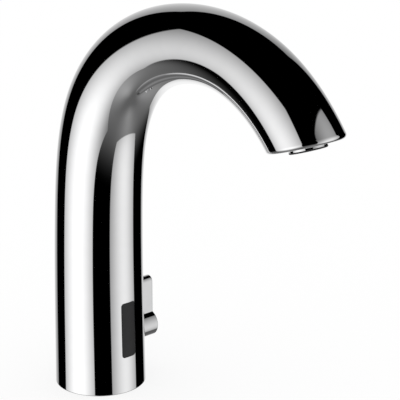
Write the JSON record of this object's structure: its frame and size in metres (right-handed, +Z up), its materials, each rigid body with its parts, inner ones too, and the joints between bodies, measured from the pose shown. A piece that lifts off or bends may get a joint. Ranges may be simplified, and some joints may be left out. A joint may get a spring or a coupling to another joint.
{
  "type": "sensor tap",
  "caption": "Deck-mounted chrome sensor tap: a round column that runs into one arched spout, with a dark front sensor window, a side mixing lever and an aerator.",
  "frame": {"origin": "centre of the base, on the deck", "axes": "+Z up along the column, +X from the column towards the outlet, +Y towards the mixing lever"},
  "size_m": [0.1959, 0.0614, 0.2217],
  "materials": {
    "chrome_plate": "polished",
    "brass": "machined",
    "steel": "machined",
    "rubber_black": "satin",
    "plastic_black": "moulded",
    "plastic_white": "moulded",
    "plastic_grey": "moulded",
    "window_dark": "polished",
    "ceramic": "lapped",
    "board_green": "lacquered",
    "diode_lens": "clear tinted",
    "coil_mould": "moulded"
  },
  "bodies": {
    "tap_body": {"spout_body": "chrome_plate", "aerator_housing": "chrome_plate", "base_seal": "rubber_black", "base_plate": "brass", "base_screws": "steel", "block_screws": "steel", "cable_grommet": "rubber_black", "valve_block": "brass", "cartridge_seal": "rubber_black", "fixed_ceramic_disc": "ceramic", "cartridge_housing": "plastic_white", "spindle_seals": "rubber_black", "cartridge_nut": "brass", "lever_bush": "plastic_black", "hot_filter": "plastic_white", "cold_filter": "plastic_white", "hot_check_housing": "plastic_white", "cold_check_housing": "plastic_white", "hot_check_spring": "steel", "cold_check_spring": "steel", "diaphragm": "rubber_black", "valve_bonnet": "plastic_black", "plunger_spring": "steel", "pole_piece": "steel", "solenoid_coil": "coil_mould", "solenoid_yoke": "steel", "coil_nut": "steel", "sensor_window": "window_dark", "window_seal": "rubber_black", "sensor_housing": "plastic_black", "sensor_board": "board_green", "ir_emitter": "diode_lens", "ir_receiver": "diode_lens", "sensor_bracket": "steel", "bracket_screws": "steel", "solenoid_lead": "rubber_black", "outlet_nipple": "brass", "outlet_tube": "plastic_white", "outlet_adapter": "plastic_white", "aerator_seal": "rubber_black", "aerator_insert": "plastic_grey", "aerator_screen": "steel"},
    "mixing_control": {"mixing_lever": "chrome_plate", "lever_screw": "steel", "mixing_spindle": "brass", "moving_ceramic_disc": "ceramic", "temperature_stop_ring": "plastic_grey"},
    "solenoid_plunger": {"plunger": "steel", "plunger_seal": "rubber_black"},
    "diaphragm_centre": {"diaphragm_core": "plastic_white"},
    "hot_poppet": {"hot_check_poppet": "plastic_grey"},
    "cold_poppet": {"cold_check_poppet": "plastic_grey"}
  },
  "joints": [
    {"name": "lever_turn", "type": "hinge", "parent": "tap_body", "child": "mixing_control", "pos_m": [0, 0, 0.0241], "axis": [0, 1, 0], "range_deg": [-45, 45]},
    {"name": "plunger_lift", "type": "slide", "parent": "tap_body", "child": "solenoid_plunger", "axis": [0, 0, 1], "range_m": [0, 0.0018], "stiffness_N_per_m": 150, "springref_m": -0.004, "deforming": ["plunger_spring"]},
    {"name": "diaphragm_lift", "type": "slide", "parent": "tap_body", "child": "diaphragm_centre", "axis": [0, 0, 1], "range_m": [0, 0.00126]},
    {"name": "hot_poppet_lift", "type": "slide", "parent": "tap_body", "child": "hot_poppet", "axis": [0, 0, 1], "range_m": [0, 0.0012], "stiffness_N_per_m": 100, "springref_m": -0.002, "deforming": ["hot_check_spring"]},
    {"name": "cold_poppet_lift", "type": "slide", "parent": "tap_body", "child": "cold_poppet", "axis": [0, 0, 1], "range_m": [0, 0.0012], "stiffness_N_per_m": 100, "springref_m": -0.002, "deforming": ["cold_check_spring"]}
  ],
  "couplings": [
    {"joint": "diaphragm_lift", "follows": "plunger_lift", "ratio": 0.7}
  ]
}
